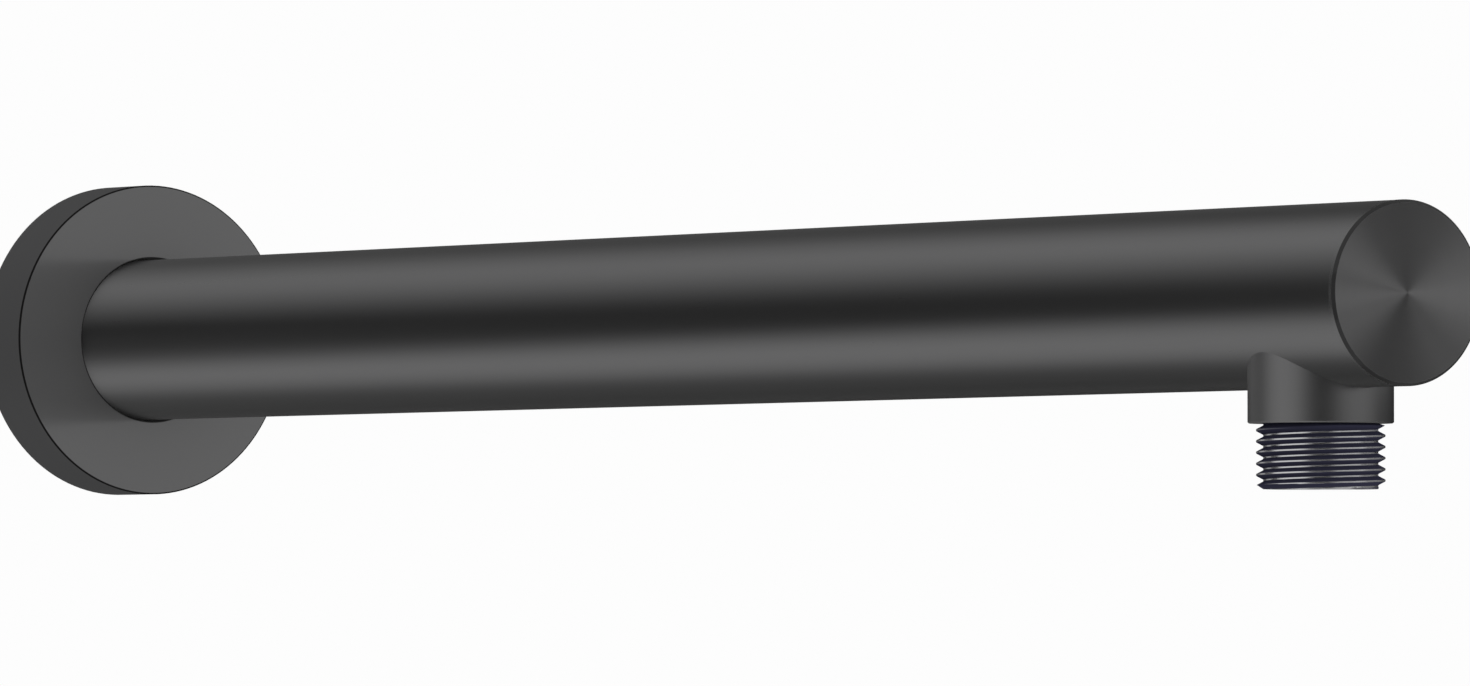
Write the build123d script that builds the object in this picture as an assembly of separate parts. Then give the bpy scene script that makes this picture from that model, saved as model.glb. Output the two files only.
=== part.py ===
from build123d import *
import os

# Round wall-mounted shower arm, in millimetres.
# The wall's face is the plane x = 0. The arm reaches out along +X, +Z is up and the outlet points down.

# Arm tube, from the wall's face to the end face
reach = 400.0
tube_diameter = 30.0
tube_wall = 1.5

# End cap, a turned disc with a spigot inside the tube
cap_head = 1.2
cap_chamfer = 0.4
cap_spigot = 6.0
cap_spigot_wall = 3.0

# G 1/2 parallel pipe thread, used at the inlet and at the outlet
thread_major = 20.955
thread_depth = 1.162

# Inlet connector, brazed in the tube's wall end
inlet_thread_length = 18.0
inlet_chamfer = 1.2
inlet_wall = 1.8
inlet_collar = 3.0
inlet_plug = 14.0

# Outlet stub and the threaded nipple in it
outlet_setback = 23.2
outlet_drop = 5.65
outlet_step = 1.6
outlet_relief = 0.6
outlet_thread_length = 10.65
outlet_chamfer = 0.75
nipple_wall = 1.8
nipple_spigot_wall = 2.0
stub_wall = 2.3

# Wall flange, a round cover that slides on the tube
flange_diameter = 58.0
flange_depth = 12.5
flange_face = 3.0
flange_rim = 2.0
flange_corner = 1.0
bore_chamfer = 0.3
hub_wall = 2.0
hub_land = 1.5
o_ring_section = 2.4
o_ring_setback = 6.0

# Clearances and broken edges
braze_gap = 0.05
flange_clearance = 0.2
o_ring_clearance = 0.05
groove_side_gap = 0.3
edge_break = 0.2

# Places and sizes that follow from the values above
tube_start = inlet_collar
tube_end = reach - cap_head
tube_bore = tube_diameter - 2 * tube_wall
thread_root = thread_major - 2 * thread_depth
inlet_bore = thread_root - 2 * inlet_wall
outlet_x = reach - outlet_setback
outlet_bore = thread_root - 2 * nipple_wall
nipple_spigot = outlet_bore + 2 * nipple_spigot_wall
stub_diameter = nipple_spigot + 2 * (braze_gap + stub_wall)
seat_z = -(tube_diameter / 2 + outlet_step)
stub_bottom = -(tube_diameter / 2 + outlet_drop)
nipple_bottom = stub_bottom - outlet_thread_length
flange_bore = tube_diameter + 2 * flange_clearance
o_ring_inner = tube_diameter / 2 + o_ring_clearance
o_ring_x = flange_depth - o_ring_setback
groove_diameter = 2 * (o_ring_inner + o_ring_section + o_ring_clearance)
groove_width = o_ring_section + 2 * groove_side_gap
hub_diameter = groove_diameter + 2 * hub_wall
hub_back = o_ring_x - groove_width / 2 - hub_land


def bar(start, end, diameter):
    """Round bar along X, on the arm's axis."""
    return Pos((start + end) / 2, 0, 0) * Rot(0, 90, 0) * Cylinder(diameter / 2, end - start)


def post(low, high, diameter):
    """Round post along Z, on the outlet's axis."""
    return Pos(outlet_x, 0, (low + high) / 2) * Cylinder(diameter / 2, high - low)


def arm_tube():
    """Straight tube with the outlet's hole through its underside."""
    tube = bar(tube_start, tube_end, tube_diameter) - bar(tube_start, tube_end, tube_bore)
    return tube - post(-tube_diameter, 0, outlet_bore)


def end_cap():
    """Disc over the tube's end, flush with its outside, with a hollow spigot that centres it."""
    spigot_diameter = tube_bore - 2 * braze_gap
    spigot_start = tube_end - cap_spigot
    disc = bar(tube_end, reach, tube_diameter)
    disc = chamfer(disc.edges().group_by(Axis.X)[-1], cap_chamfer)
    spigot = bar(spigot_start, tube_end, spigot_diameter)
    return disc + spigot - bar(spigot_start, tube_end, spigot_diameter - 2 * cap_spigot_wall)


def outlet_stub():
    """Boss under the tube: its top is cut to the tube's curve, and its bore is stepped to seat the nipple."""
    boss = post(stub_bottom, 0, stub_diameter)
    boss = chamfer(boss.edges().group_by(Axis.Z)[0], edge_break)
    boss -= bar(tube_start, reach, tube_diameter + 2 * braze_gap)
    boss -= post(stub_bottom, seat_z, nipple_spigot + 2 * braze_gap)
    return boss - post(stub_bottom, 0, outlet_bore)


def outlet_nipple():
    """Threaded outlet: a spigot brazed in the stub, a relief at the root of the thread, then the thread's crest."""
    thread_top = stub_bottom - outlet_relief
    thread = post(nipple_bottom, thread_top, thread_major)
    thread = chamfer(thread.edges().group_by(Axis.Z)[0], outlet_chamfer)
    relief = post(thread_top, stub_bottom, thread_root)
    spigot = post(stub_bottom, seat_z, nipple_spigot)
    return thread + relief + spigot - post(nipple_bottom, seat_z, outlet_bore)


def inlet_connector():
    """Plug in the tube's wall end, a collar that the tube butts against, and the thread that enters the wall."""
    plug_end = tube_start + inlet_plug
    thread = bar(-inlet_thread_length, 0, thread_major)
    thread = chamfer(thread.edges().group_by(Axis.X)[0], inlet_chamfer)
    collar = bar(0, inlet_collar, tube_diameter)
    plug = bar(tube_start, plug_end, tube_bore - 2 * braze_gap)
    return thread + collar + plug - bar(-inlet_thread_length, plug_end, inlet_bore)


def wall_flange():
    """Hollow cover: a front plate, a rim that meets the wall and a grooved hub that runs on the tube."""
    cover = bar(0, flange_depth, flange_diameter)
    cover = chamfer(cover.edges().group_by(Axis.X)[-1], edge_break)
    cover -= bar(0, flange_depth, flange_bore)
    cover = chamfer(cover.edges().group_by(Axis.X)[-1].sort_by(SortBy.RADIUS)[0], bore_chamfer)
    hollow = bar(0, flange_depth - flange_face, flange_diameter - 2 * flange_rim)
    hollow = fillet(hollow.edges().group_by(Axis.X)[-1], flange_corner)
    hub = bar(hub_back, flange_depth - flange_face, hub_diameter)
    groove = bar(o_ring_x - groove_width / 2, o_ring_x + groove_width / 2, groove_diameter)
    return cover - (hollow - hub) - groove


def flange_o_ring():
    """Rubber ring in the hub's groove, round in section."""
    ring = Torus(o_ring_inner + o_ring_section / 2, o_ring_section / 2)
    return Pos(o_ring_x, 0, 0) * Rot(0, 90, 0) * ring


os.makedirs("parts", exist_ok=True)
for piece in (arm_tube, end_cap, outlet_stub, outlet_nipple, inlet_connector, wall_flange, flange_o_ring):
    export_step(piece(), f"parts/{piece.__name__}.step")
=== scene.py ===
import math

import bmesh
import bpy
from mathutils import Matrix, Vector


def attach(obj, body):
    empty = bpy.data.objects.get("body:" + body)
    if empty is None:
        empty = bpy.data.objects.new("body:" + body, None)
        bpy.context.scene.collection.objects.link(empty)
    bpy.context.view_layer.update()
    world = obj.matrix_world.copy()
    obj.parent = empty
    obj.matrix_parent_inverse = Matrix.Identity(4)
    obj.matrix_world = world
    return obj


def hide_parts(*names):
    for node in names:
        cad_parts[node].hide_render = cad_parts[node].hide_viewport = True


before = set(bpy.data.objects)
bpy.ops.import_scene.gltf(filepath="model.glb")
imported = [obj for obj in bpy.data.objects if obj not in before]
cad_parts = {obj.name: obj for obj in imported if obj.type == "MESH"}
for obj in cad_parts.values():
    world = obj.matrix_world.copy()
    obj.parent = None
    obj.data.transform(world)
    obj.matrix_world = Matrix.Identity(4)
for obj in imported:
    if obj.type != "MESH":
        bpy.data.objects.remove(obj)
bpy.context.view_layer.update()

# Arm tube: a straight drawn brass tube, 30 mm across.
# It is coated dark grey and brushed along its length to a fine satin sheen.
# All other pieces are fixed to it or slide on it.
GUNMETAL = (0.121, 0.121, 0.122, 1)
TUBE_ROUGH = 0.28
STROKES_ACROSS = 4000  # per metre
STROKES_ALONG = 110


def add(tree, kind, inputs=None, **settings):
    """A shader node with its settings, and with each of its inputs linked or set."""
    made = tree.nodes.new("ShaderNode" + kind)
    for name, value in settings.items():
        setattr(made, name, value)
    for name, value in (inputs or {}).items():
        if isinstance(value, bpy.types.NodeSocket):
            tree.links.new(value, made.inputs[name])
        else:
            made.inputs[name].default_value = value
    return made


def maths(tree, operation, *values):
    """The result of one sum on numbers or sockets."""
    return add(tree, "Math", dict(enumerate(values)), operation=operation).outputs[0]


def make_grain_group():
    """Brushed grain: from stretched coordinates, it varies a metal's colour and roughness,
    lighter where it is smoother, and gives its fine relief."""
    patch_share = 0.6
    roughness_share = -0.3
    group = bpy.data.node_groups.new("brushed_grain", "ShaderNodeTree")
    taken = {"Vector": "Vector", "Color": "Color", "Roughness": "Float", "Contrast": "Float"}
    for name, kind in taken.items():
        group.interface.new_socket(name=name, in_out="INPUT", socket_type="NodeSocket" + kind)
    made = {"Color": "Color", "Roughness": "Float", "Height": "Float"}
    for name, kind in made.items():
        group.interface.new_socket(name=name, in_out="OUTPUT", socket_type="NodeSocket" + kind)
    given = group.nodes.new("NodeGroupInput").outputs
    result = group.nodes.new("NodeGroupOutput").inputs
    fine_noise = {"Vector": given["Vector"], "Scale": 1, "Detail": 3, "Roughness": 0.6}
    broad_noise = {"Vector": given["Vector"], "Scale": 0.04, "Detail": 2, "Roughness": 0.5}
    height = add(group, "TexNoise", fine_noise).outputs["Fac"]
    patches = add(group, "TexNoise", broad_noise).outputs["Fac"]
    strokes = maths(group, "MULTIPLY", height, 1 - patch_share)
    mixed = maths(group, "MULTIPLY_ADD", patches, patch_share, strokes)
    swing = maths(group, "MULTIPLY", maths(group, "SUBTRACT", mixed, 0.5), given["Contrast"])
    lighter = maths(group, "ADD", swing, 1)
    shade = add(group, "VectorMath", {0: given["Color"], "Scale": lighter}, operation="SCALE")
    rough = maths(group, "MULTIPLY_ADD", swing, roughness_share, given["Roughness"])
    group.links.new(shade.outputs[0], result["Color"])
    group.links.new(rough, result["Roughness"])
    group.links.new(height, result["Height"])
    return group


brushed_grain = make_grain_group()


def new_material(name):
    """A material with an empty node tree apart from its metal shader, and object coordinates in metres."""
    material = bpy.data.materials.new(name)
    material.use_nodes = True
    tree = material.node_tree
    tree.nodes.clear()
    surface = add(tree, "BsdfPrincipled", {"Metallic": 1, "Specular IOR Level": 0})
    add(tree, "OutputMaterial", {"Surface": surface.outputs[0]})
    place = add(tree, "TexCoord").outputs["Object"]
    return material, tree, surface, place


def grain_on(tree, surface, coordinates, color, roughness, contrast, relief, slope=0):
    """Feeds brushed grain into a metal shader.
    Relief is the depth of the strokes and slope a broad rise, both in metres."""
    given = {"Vector": coordinates, "Color": color, "Roughness": roughness, "Contrast": contrast}
    grain = add(tree, "Group", given, node_tree=brushed_grain).outputs
    height = maths(tree, "MULTIPLY_ADD", grain["Height"], relief, slope)
    bump = add(tree, "Bump", {"Strength": 1, "Distance": 1, "Height": height})
    tree.links.new(grain["Color"], surface.inputs["Base Color"])
    tree.links.new(grain["Roughness"], surface.inputs["Roughness"])
    tree.links.new(bump.outputs[0], surface.inputs["Normal"])


def dress(node, material):
    """Gives a CAD node its finished material."""
    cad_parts[node].material_slots[0].material = material


tube_metal, tree, surface, place = new_material("tube_lengthwise_brushed")
lengthwise = (STROKES_ALONG, STROKES_ACROSS, STROKES_ACROSS)
strokes = add(tree, "Mapping", {"Vector": place, "Scale": lengthwise}).outputs[0]
grain_on(tree, surface, strokes, GUNMETAL, TUBE_ROUGH, contrast=0.12, relief=1e-6)
dress("arm_tube", tube_metal)

# Inlet connector: a brass plug, turned on a lathe and brazed in the tube's wall end.
# Its collar butts against the tube, and its G 1/2 thread screws into the elbow in the wall.
# It stays bare brass, with fine rings from the cutting tool. Its sizes are in millimetres.
MM = 0.001
THREAD_PITCH = 25.4 / 14
THREAD_CREST = 20.955 / 2
THREAD_DEPTH = 1.162
THREAD_ROOT = THREAD_CREST - THREAD_DEPTH
THREAD_FLANK = math.radians(27.5)
THREAD_LAND = 0.2
THREAD_EASE = 0.065
THREAD_RUN_OUT = 3  # slope of the cone at its upper end
TURN_STEPS = 144
SEAM = 1e-4
WELD = 1e-3
SHARP = math.radians(30)
THREAD_WALL = 1.8
BORE = THREAD_ROOT - THREAD_WALL
EDGE_BREAK = 0.3
INLET_END = -18.0
INLET_CHAMFER = 1.2
INLET_CREST = -1.0
WALL_FACE = 0.0
COLLAR = 15.0
COLLAR_DEPTH = 3.0
TUBE_WALL = 1.5
BRAZE_GAP = 0.05
PLUG = COLLAR - TUBE_WALL - BRAZE_GAP
PLUG_LENGTH = 14.0
PLUG_END = COLLAR_DEPTH + PLUG_LENGTH
BRASS = (0.62, 0.46, 0.22, 1)
BRASS_ROUGH = 0.3
INLET_RINGS_ALONG = 150


def revolve_section(bm, section):
    """Spins an open section of (radius, height) points once round Z."""
    corners = [bm.verts.new((radius, 0, height)) for radius, height in section]
    edges = [bm.edges.new(pair) for pair in zip(corners, corners[1:])]
    bmesh.ops.spin(
        bm, geom=corners + edges, cent=(0, 0, 0), axis=(0, 0, 1), dvec=(0, 0, 0),
        angle=2 * math.pi, steps=TURN_STEPS, use_merge=True, use_duplicate=False,
    )


def wind_thread(bm, low, top, crest_height, chamfer):
    """Winds a right-handed pipe thread up Z with its crest at crest_height on +X.
    Both its ends are trimmed to cones, the lower one as long as the chamfer."""
    valley = THREAD_PITCH / 2
    land = THREAD_LAND / 2
    flank = (valley - (THREAD_DEPTH - 2 * THREAD_EASE) * math.tan(THREAD_FLANK)) / 2
    down = [(THREAD_CREST, land), (THREAD_CREST - THREAD_EASE, flank)]
    down += [(THREAD_ROOT + THREAD_EASE, valley - flank), (THREAD_ROOT, valley - land)]
    tooth = down + [(radius, THREAD_PITCH - along) for radius, along in reversed(down)]
    tooth += [(THREAD_CREST, THREAD_PITCH)]
    first = crest_height - THREAD_PITCH * math.ceil((crest_height - low) / THREAD_PITCH + 1)
    turns = math.ceil((top - first) / THREAD_PITCH)
    points = [bm.verts.new((THREAD_CREST, 0, first))]
    for turn in range(turns):
        lift = first + turn * THREAD_PITCH
        points += [bm.verts.new((radius, 0, lift + along)) for radius, along in tooth]
    edges = [bm.edges.new(pair) for pair in zip(points, points[1:])]
    bmesh.ops.spin(
        bm, geom=points + edges, cent=(0, 0, 0), axis=(0, 0, 1), dvec=(0, 0, THREAD_PITCH / TURN_STEPS),
        angle=2 * math.pi, steps=TURN_STEPS, use_merge=False, use_duplicate=False,
    )
    bmesh.ops.remove_doubles(bm, verts=bm.verts[:], dist=SEAM)
    for point in bm.verts:
        height = min(max(point.co.z, low), top)
        radius = point.co.xy.length
        rise = min(THREAD_DEPTH / chamfer * (height - low), THREAD_RUN_OUT * (top - height))
        trimmed = min(radius, THREAD_ROOT + rise) / radius
        point.co = (point.co.x * trimmed, point.co.y * trimmed, height)
    bmesh.ops.remove_doubles(bm, verts=bm.verts[:], dist=WELD)


def finish_piece(bm, name, placing, material, body, node):
    """Closes a turned piece, puts it where its CAD node is, and lets it stand for that node."""
    bmesh.ops.remove_doubles(bm, verts=bm.verts[:], dist=WELD)
    bmesh.ops.recalc_face_normals(bm, faces=bm.faces[:])
    bmesh.ops.transform(bm, matrix=placing @ Matrix.Scale(MM, 4), verts=bm.verts[:])
    mesh = bpy.data.meshes.new(name)
    bm.to_mesh(mesh)
    bm.free()
    mesh.shade_smooth()
    mesh.set_sharp_from_angle(angle=SHARP)
    mesh.materials.append(material)
    piece = bpy.data.objects.new(name, mesh)
    bpy.context.scene.collection.objects.link(piece)
    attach(piece, body)
    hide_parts(node)
    return piece


inlet_brass, tree, surface, place = new_material("inlet_bare_brass")
round_the_arm = (STROKES_ACROSS, INLET_RINGS_ALONG, INLET_RINGS_ALONG)
rings = add(tree, "Mapping", {"Vector": place, "Scale": round_the_arm}).outputs[0]
grain_on(tree, surface, rings, BRASS, BRASS_ROUGH, contrast=0.25, relief=3e-6)

bm = bmesh.new()
wind_thread(bm, INLET_END, WALL_FACE, INLET_CREST, INLET_CHAMFER)
revolve_section(bm, [
    (THREAD_ROOT, INLET_END), (BORE + EDGE_BREAK, INLET_END), (BORE, INLET_END + EDGE_BREAK),
    (BORE, PLUG_END), (PLUG - EDGE_BREAK, PLUG_END), (PLUG, PLUG_END - EDGE_BREAK),
    (PLUG, COLLAR_DEPTH), (COLLAR, COLLAR_DEPTH), (COLLAR, WALL_FACE + EDGE_BREAK),
    (COLLAR - EDGE_BREAK, WALL_FACE), (THREAD_ROOT, WALL_FACE),
])
finish_piece(
    bm, "inlet_with_thread", Matrix.Rotation(math.pi / 2, 4, "Y"), inlet_brass,
    "arm", "inlet_connector",
)

# End cap: a turned brass disc with a spigot, brazed in the tube's free end.
# Its face is spun to fine rings round the middle, which fan the light out into a bow-tie.
# Its narrow chamfer is smoother than the face and coloured dark, as a painted shade line round it.
# The face is coloured lighter than the tube's coating, as painted light.
CAP_FACE_PAINTED_LIGHT = (0.188, 0.188, 0.189, 1)
CAP_EDGE_PAINTED_SHADE = (0.036, 0.036, 0.036, 1)
CAP_REACH = 0.4
CAP_RADIUS = 0.015
CAP_CHAMFER = 0.0004
CAP_FLAT = CAP_RADIUS - CAP_CHAMFER
CAP_SIDE = 0.01497
CAP_FAN = 0.14
CAP_FACE_ROUGH = 0.39
CAP_SIDE_ROUGH = 0.2
POLISHED = 0.14
CAP_METAL = 0.94
CAP_EDGE_METAL = 0.3
EDGE_FADE = 0.00004


def distance_from_x(tree, place):
    """How far along X and how far from the X axis each point lies, in metres."""
    apart = add(tree, "SeparateXYZ", {0: place}).outputs
    across = add(tree, "CombineXYZ", {"Y": apart["Y"], "Z": apart["Z"]}).outputs[0]
    radius = add(tree, "VectorMath", {0: across}, operation="LENGTH").outputs["Value"]
    return apart["X"], radius


def above(tree, value, limit, fade):
    """A soft mask, 1 where the value is above the limit."""
    span = {"Value": value, "From Min": limit - fade, "From Max": limit + fade}
    return add(tree, "MapRange", span, clamp=True).outputs[0]


def blend(tree, mask, low, high):
    """A number that goes from low to high with a mask."""
    return add(tree, "MapRange", {"Value": mask, "To Min": low, "To Max": high}, clamp=True).outputs[0]


def tint(tree, mask, under, over):
    """A colour that goes from one to another with a mask."""
    return add(tree, "Mix", {"Factor": mask, 6: under, 7: over}, data_type="RGBA").outputs[2]


cap_metal, tree, surface, place = new_material("cap_spun_face")
along, radius = distance_from_x(tree, place)
edge_from = CAP_REACH + CAP_FLAT - 2 * EDGE_FADE
edge = above(tree, maths(tree, "ADD", along, radius), edge_from, EDGE_FADE)
side = above(tree, radius, CAP_SIDE, EDGE_FADE / 4)
across = maths(tree, "MULTIPLY", radius, STROKES_ACROSS)
rings = add(tree, "CombineXYZ", {"X": across, "Y": 0.5, "Z": 0.5}).outputs[0]
dome = maths(tree, "MULTIPLY", maths(tree, "MINIMUM", radius, CAP_FLAT), -CAP_FAN)
# Painted light on the face, which is lighter than the coating, and a painted shade line on the dark
# chamfer.
shade = tint(tree, edge, tint(tree, side, CAP_FACE_PAINTED_LIGHT, GUNMETAL), CAP_EDGE_PAINTED_SHADE)
rough = blend(tree, edge, blend(tree, side, CAP_FACE_ROUGH, CAP_SIDE_ROUGH), POLISHED)
grain_on(tree, surface, rings, shade, rough, contrast=0.10, relief=1.5e-6, slope=dome)
tree.links.new(blend(tree, edge, CAP_METAL, CAP_EDGE_METAL), surface.inputs["Metallic"])
surface.inputs["Anisotropic"].default_value = 0.98
surface.inputs["Anisotropic Rotation"].default_value = 0.25
round_the_cap = add(tree, "Tangent", direction_type="RADIAL", axis="X").outputs[0]
tree.links.new(round_the_cap, surface.inputs["Tangent"])
dress("end_cap", cap_metal)

# Outlet stub: a short turned brass boss, its top cut to the tube's curve and brazed to the underside.
# It has the tube's coating, brushed downwards, and is coloured lighter than the tube as painted light.
# It is left out of other pieces' reflections.
STUB_PAINTED_LIGHT = (0.151, 0.151, 0.152, 1)
STUB_ROUGH = 0.32
stub_metal, tree, surface, place = new_material("stub_brushed_down")
downwards = (STROKES_ACROSS, STROKES_ACROSS, STROKES_ALONG)
strokes = add(tree, "Mapping", {"Vector": place, "Scale": downwards}).outputs[0]
grain_on(tree, surface, strokes, STUB_PAINTED_LIGHT, STUB_ROUGH, contrast=0.10, relief=1e-6)
surface.inputs["Anisotropic"].default_value = 0.886
round_the_stub = add(tree, "Tangent", direction_type="RADIAL", axis="Z").outputs[0]
tree.links.new(round_the_stub, surface.inputs["Tangent"])
dress("outlet_stub", stub_metal)
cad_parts["outlet_stub"].visible_glossy = False

# Outlet nipple: the threaded outlet for the shower head, turned from brass and brazed in the stub.
# Its flanks are a dull blue-black, and the flat crests and roots of the thread are burnished bright.
# The turn by the stub is left dark as painted shade. The nipple is left out of other pieces' reflections.
OUTLET_X = 0.3768
BLUE_BLACK = (0.029, 0.029, 0.050, 1)
BURNISHED = (0.52, 0.52, 0.53, 1)
THREAD_ROUGH = 0.22
BURNISHED_METAL = 0.9
CREST_FROM = 0.01046
ROOT_TO = 0.00933
LAND_FADE = 0.00001
PAINTED_SHADE_TOP = -0.0218
PAINTED_SHADE_FADE = 0.0003
NIPPLE_RINGS_ALONG = 200
nipple_metal, tree, surface, place = new_material("thread_blue_black")
centred = add(tree, "Mapping", {"Vector": place, "Location": (-OUTLET_X, 0, 0)}).outputs[0]
flat = add(tree, "VectorMath", {0: centred, 1: (1, 1, 0)}, operation="MULTIPLY").outputs[0]
from_axis = add(tree, "VectorMath", {0: flat}, operation="LENGTH").outputs["Value"]
crest = above(tree, from_axis, CREST_FROM, LAND_FADE)
root = maths(tree, "SUBTRACT", 1, above(tree, from_axis, ROOT_TO, LAND_FADE))
height = add(tree, "SeparateXYZ", {0: place}).outputs["Z"]
# Wear burnishes the lands, except on the turn by the stub, which is left dark as painted shade from the
# stub.
worn_below_painted_shade = maths(tree, "SUBTRACT", 1, above(tree, height, PAINTED_SHADE_TOP, PAINTED_SHADE_FADE))
lands = maths(tree, "MULTIPLY", maths(tree, "MAXIMUM", crest, root), worn_below_painted_shade)
shade = tint(tree, lands, BLUE_BLACK, BURNISHED)
round_the_outlet = (NIPPLE_RINGS_ALONG, NIPPLE_RINGS_ALONG, STROKES_ACROSS)
rings = add(tree, "Mapping", {"Vector": place, "Scale": round_the_outlet}).outputs[0]
grain_on(tree, surface, rings, shade, THREAD_ROUGH, contrast=0.2, relief=1e-6)
tree.links.new(blend(tree, lands, 0, BURNISHED_METAL), surface.inputs["Metallic"])

# The thread's and the spigot's sizes in millimetres
STUB_BOTTOM = -20.65
NIPPLE_LENGTH = 10.65
NIPPLE_BOTTOM = STUB_BOTTOM - NIPPLE_LENGTH
NIPPLE_CREST = -21.1
OUTLET_CHAMFER = 0.75
SEAT = -16.6
SPIGOT_WALL = 2.0
SPIGOT = BORE + SPIGOT_WALL
bm = bmesh.new()
wind_thread(bm, NIPPLE_BOTTOM, STUB_BOTTOM, NIPPLE_CREST, OUTLET_CHAMFER)
revolve_section(bm, [
    (THREAD_ROOT, NIPPLE_BOTTOM), (BORE + EDGE_BREAK, NIPPLE_BOTTOM), (BORE, NIPPLE_BOTTOM + EDGE_BREAK),
    (BORE, SEAT), (SPIGOT, SEAT), (SPIGOT, STUB_BOTTOM), (THREAD_ROOT, STUB_BOTTOM),
])
nipple = finish_piece(
    bm, "outlet_with_thread", Matrix.Translation((OUTLET_X, 0, 0)), nipple_metal,
    "arm", "outlet_nipple",
)
nipple.visible_glossy = False

# Wall flange: a turned brass cover that slides on the tube and hides the hole in the wall.
# Its face has the satin sheen. Its rim is blasted rougher and coloured darker, as painted shade.
# The face's edges are smooth chamfers coloured near black, as painted shade lines.
# It is left out of other pieces' reflections.
FLANGE_GREY = (0.126, 0.126, 0.127, 1)
RIM_PAINTED_SHADE = (0.068, 0.068, 0.069, 1)
FLANGE_EDGE_PAINTED_SHADE = (0.008, 0.008, 0.008, 1)
BORE_EDGE_PAINTED_SHADE = (0.04, 0.04, 0.04, 1)
FLANGE_DEPTH = 0.0125
FLANGE_RADIUS = 0.029
FLANGE_CHAMFER = 0.0002
FLANGE_BORE = 0.0152
FLANGE_BORE_CHAMFER = 0.0003
FLANGE_EDGE = FLANGE_DEPTH + FLANGE_RADIUS - FLANGE_CHAMFER
FLANGE_BORE_EDGE = FLANGE_DEPTH - FLANGE_BORE - FLANGE_BORE_CHAMFER
FLANGE_FRONT = 0.0121
FLANGE_RIM = 0.0289
FACE_ROUGH = 0.21
RIM_ROUGH = 0.5
FACE_METAL = 0.3
RIM_METAL = 0.1
FLANGE_EDGE_METAL = 0.5
flange_metal, tree, surface, place = new_material("flange_satin")
along, radius = distance_from_x(tree, place)
outer_slope = maths(tree, "ADD", along, radius)
outer_edge = above(tree, outer_slope, FLANGE_EDGE - 2 * EDGE_FADE, EDGE_FADE)
bore_slope = maths(tree, "SUBTRACT", along, radius)
bore_edge = above(tree, bore_slope, FLANGE_BORE_EDGE - 2 * EDGE_FADE, EDGE_FADE)
bore_edge = maths(tree, "MULTIPLY", bore_edge, above(tree, along, FLANGE_FRONT, EDGE_FADE))
edges = maths(tree, "MAXIMUM", outer_edge, bore_edge)
rim = above(tree, radius, FLANGE_RIM, EDGE_FADE)
# The rim is coloured darker than the face, as painted shade.
shade = tint(tree, rim, FLANGE_GREY, RIM_PAINTED_SHADE)
# Both chamfers are coloured near black, as painted shade lines.
shade = tint(tree, outer_edge, shade, FLANGE_EDGE_PAINTED_SHADE)
shade = tint(tree, bore_edge, shade, BORE_EDGE_PAINTED_SHADE)
rough = blend(tree, edges, blend(tree, rim, FACE_ROUGH, RIM_ROUGH), POLISHED)
metal = blend(tree, edges, blend(tree, rim, FACE_METAL, RIM_METAL), FLANGE_EDGE_METAL)
across = maths(tree, "MULTIPLY", radius, STROKES_ACROSS)
down_the_rim = maths(tree, "MULTIPLY", along, STROKES_ACROSS)
rings = add(tree, "CombineXYZ", {"X": across, "Y": down_the_rim, "Z": 0.5}).outputs[0]
grain_on(tree, surface, rings, shade, rough, contrast=0.06, relief=1e-6)
tree.links.new(metal, surface.inputs["Metallic"])
dress("wall_flange", flange_metal)
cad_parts["wall_flange"].visible_glossy = False

# Flange O-ring: a moulded ring of black rubber in a groove of the flange's bore.
# It grips the tube so that the flange stays where it is pushed.
RUBBER = (0.02, 0.02, 0.02, 1)
RUBBER_ROUGH = 0.75
RUBBER_GRIT = 6000
ring_rubber, tree, surface, place = new_material("seal_rubber")
grit = add(tree, "Mapping", {"Vector": place, "Scale": (RUBBER_GRIT, RUBBER_GRIT, RUBBER_GRIT)}).outputs[0]
grain_on(tree, surface, grit, RUBBER, RUBBER_ROUGH, contrast=0.5, relief=4e-6)
surface.inputs["Metallic"].default_value = 0
dress("flange_o_ring", ring_rubber)

# Studio: a pale floor that is clear from below, a white surround, three soft lamps and dark flags.
# The flags are seen only in reflections, and give the satin metal its dark bands.
# Those for the cap and the stub hang close to the free end, so that they leave the rest of the arm light.
STUDIO_CENTRE = (0.2, 0, 0)
FREE_END = (0.378, 0, -0.017)
FLOOR_HEIGHT = -0.2
FLOOR_RADIUS = 12
FLOOR_WHITE = (0.95, 0.95, 0.95, 1)
FLOOR_ROUGH = 0.9
floor_mesh = bpy.data.meshes.new("floor")
bm = bmesh.new()
bmesh.ops.create_circle(bm, cap_ends=True, segments=96, radius=FLOOR_RADIUS)
bmesh.ops.translate(bm, vec=(STUDIO_CENTRE[0], 0, FLOOR_HEIGHT), verts=bm.verts[:])
bm.to_mesh(floor_mesh)
bm.free()
floor = bpy.data.objects.new("floor", floor_mesh)
bpy.context.scene.collection.objects.link(floor)
floor_paint, tree, surface, _ = new_material("floor_pale")
surface.inputs["Metallic"].default_value = 0
surface.inputs["Base Color"].default_value = FLOOR_WHITE
surface.inputs["Roughness"].default_value = FLOOR_ROUGH
underside = add(tree, "NewGeometry").outputs["Backfacing"]
clear = add(tree, "BsdfTransparent")
one_sided = add(tree, "MixShader", {0: underside, 1: surface.outputs[0], 2: clear.outputs[0]})
tree.links.new(one_sided.outputs[0], tree.nodes["Material Output"].inputs["Surface"])
floor_mesh.materials.append(floor_paint)
floor.visible_glossy = False
floor.visible_diffuse = False


def ramp(tree, value, start, end):
    """A smooth mask from 0 at the start to 1 at the end."""
    span = {"Value": value, "From Min": start, "From Max": end}
    return add(tree, "MapRange", span, interpolation_type="SMOOTHSTEP").outputs[0]


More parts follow.
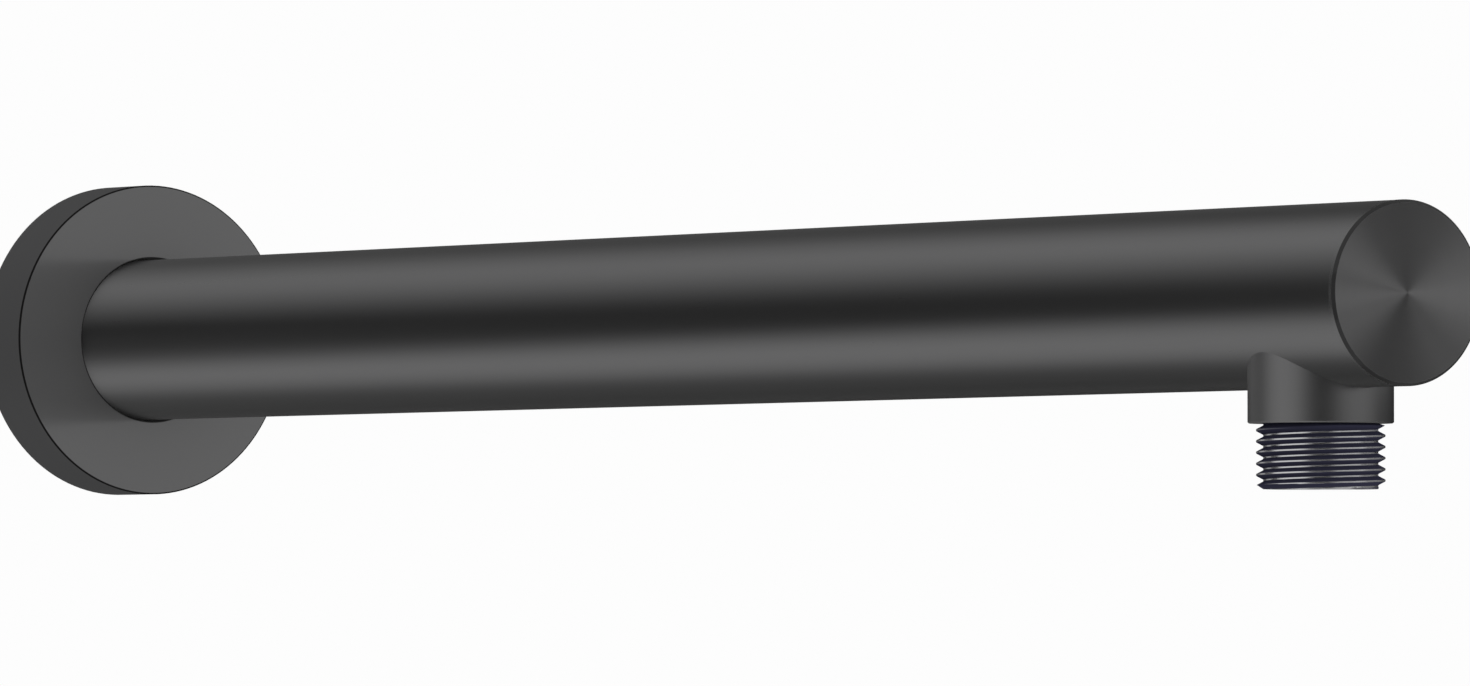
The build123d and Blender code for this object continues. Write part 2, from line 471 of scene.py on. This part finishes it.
def hang_flag(name, centre, distance, azimuths, elevations, fades, level):
    """A dark card on a sphere round the centre, between two azimuths and two elevations in degrees.
    It fades out at its sides, its foot and its top over the given angles, and level is how grey it is."""
    half = math.radians(azimuths[1] - azimuths[0]) / 2
    low, high = (math.radians(angle) for angle in elevations)
    side, foot, top = (math.radians(angle) for angle in fades)
    material = bpy.data.materials.new(name)
    material.use_nodes = True
    tree = material.node_tree
    tree.nodes.clear()
    apart = add(tree, "SeparateXYZ", {0: add(tree, "TexCoord").outputs["Object"]}).outputs
    turn = maths(tree, "ABSOLUTE", maths(tree, "ARCTAN2", apart["Y"], apart["X"]))
    rise = maths(tree, "ARCSINE", maths(tree, "DIVIDE", apart["Z"], distance))
    mask = maths(tree, "MULTIPLY", ramp(tree, rise, low, low + foot), ramp(tree, rise, high, high - top))
    mask = maths(tree, "MULTIPLY", mask, ramp(tree, turn, half, half - side))
    dark = add(tree, "Emission", {"Color": (level, level, level, 1), "Strength": 1})
    clear = add(tree, "BsdfTransparent")
    card = add(tree, "MixShader", {0: mask, 1: clear.outputs[0], 2: dark.outputs[0]})
    add(tree, "OutputMaterial", {"Surface": card.outputs[0]})
    bm = bmesh.new()
    corner = bm.verts.new((distance * math.cos(low), 0, distance * math.sin(low)))
    bmesh.ops.spin(
        bm, geom=[corner], cent=(0, 0, 0), axis=(0, -1, 0), dvec=(0, 0, 0), angle=high - low, steps=24,
    )
    bmesh.ops.rotate(bm, cent=(0, 0, 0), matrix=Matrix.Rotation(-half, 3, "Z"), verts=bm.verts[:])
    bmesh.ops.spin(
        bm, geom=bm.verts[:] + bm.edges[:], cent=(0, 0, 0), axis=(0, 0, 1), dvec=(0, 0, 0),
        angle=2 * half, steps=48,
    )
    mesh = bpy.data.meshes.new(name)
    bm.to_mesh(mesh)
    bm.free()
    mesh.materials.append(material)
    flag = bpy.data.objects.new(name, mesh)
    flag.location = centre
    flag.rotation_euler.z = math.radians(sum(azimuths) / 2)
    bpy.context.scene.collection.objects.link(flag)
    flag.visible_camera = False
    flag.visible_diffuse = False
    flag.visible_transmission = False
    flag.visible_shadow = False


hang_flag("flag_wall_side", STUDIO_CENTRE, 6.0, (85.5, 237.5), (-26.5, 43.5), (13.5, 20.5, 42), 0.002)
hang_flag("flag_far_side", STUDIO_CENTRE, 5.9, (130, 202.5), (-60.5, 12), (28, 10.5, 32), 0.175)
hang_flag("flag_by_camera", FREE_END, 0.42, (-74.5, 0), (-22, 21), (24.5, 2, 3.5), 0.006)
hang_flag("flag_above_wall_side", STUDIO_CENTRE, 5.7, (87, 201.5), (10.5, 77), (50, 2.5, 10.5), 0.12)
hang_flag("flag_above_free_end", FREE_END, 0.28, (-10.5, 64.5), (3, 88.5), (3.5, 7.5, 36), 0.086)
hang_flag("flag_below_wall_side", STUDIO_CENTRE, 5.6, (65.5, 180.5), (-77.5, -5), (50, 4.5, 8), 0.002)
hang_flag("flag_below_free_end", FREE_END, 0.27, (-19.5, 59), (-88.5, 1.5), (2, 5, 9.5), 0.002)
hang_flag("card_by_wall", STUDIO_CENTRE, 5.5, (182, 207.5), (-13, 5.5), (4, 6, 2.5), 0.57)
hang_flag("flag_beyond_stub", FREE_END, 0.12, (45.5, 95.5), (-15.5, 6), (4, 4, 5), 0.19)


def hang_lamp(name, place, size, power):
    """A round soft lamp that points at the middle of the arm and isn't seen in reflections."""
    lamp = bpy.data.lights.new(name, "AREA")
    lamp.shape = "DISK"
    lamp.size = size
    lamp.energy = power
    stand = bpy.data.objects.new(name, lamp)
    stand.location = place
    aim = Vector(STUDIO_CENTRE) - Vector(place)
    stand.rotation_euler = aim.to_track_quat("-Z", "Y").to_euler()
    stand.visible_glossy = False
    stand.visible_camera = False
    bpy.context.scene.collection.objects.link(stand)


hang_lamp("lamp_by_camera", (2.77, -1.73, 0.1), size=1.2, power=4)
hang_lamp("lamp_far_side", (2.77, 1.73, 0.06), size=0.2, power=26)
hang_lamp("lamp_overhead", (0.2, 0, 2.5), size=1.6, power=10)

SURROUND_WHITE = (0.982, 0.982, 0.982, 1)
FILL_WHITE = (1, 1, 1, 1)
FILL_STRENGTH = 0.75
world = bpy.data.worlds.new("white_surround")
bpy.context.scene.world = world
world.use_nodes = True
tree = world.node_tree
tree.nodes.clear()
rays = add(tree, "LightPath").outputs
seen = maths(tree, "MAXIMUM", rays["Is Camera Ray"], rays["Is Glossy Ray"])
seen = maths(tree, "MAXIMUM", seen, rays["Is Transmission Ray"])
fill = add(tree, "Background", {"Color": FILL_WHITE, "Strength": FILL_STRENGTH})
white = add(tree, "Background", {"Color": SURROUND_WHITE, "Strength": 1})
surround = add(tree, "MixShader", {0: seen, 1: fill.outputs[0], 2: white.outputs[0]})
add(tree, "OutputWorld", {"Surface": surround.outputs[0]})

# Camera: far off with a long lens, beyond the free end and a little below the arm.
VIEW_TURN = math.radians(55.9081)
VIEW_RISE = math.radians(1.3359)
camera_data = bpy.data.cameras.new("camera")
camera_data.lens = 287.35
camera_data.sensor_width = 36
camera_data.sensor_fit = "HORIZONTAL"
camera_data.clip_end = 100
camera = bpy.data.objects.new("camera", camera_data)
camera.location = (1.89700, -1.14348, -0.05193)
outward = math.cos(VIEW_RISE)
toward = Vector((-math.sin(VIEW_TURN) * outward, math.cos(VIEW_TURN) * outward, math.sin(VIEW_RISE)))
camera.rotation_euler = toward.to_track_quat("-Z", "Y").to_euler()
bpy.context.scene.collection.objects.link(camera)
bpy.context.scene.camera = camera
bpy.context.scene.view_settings.view_transform = "Standard"

bpy.context.view_layer.update()
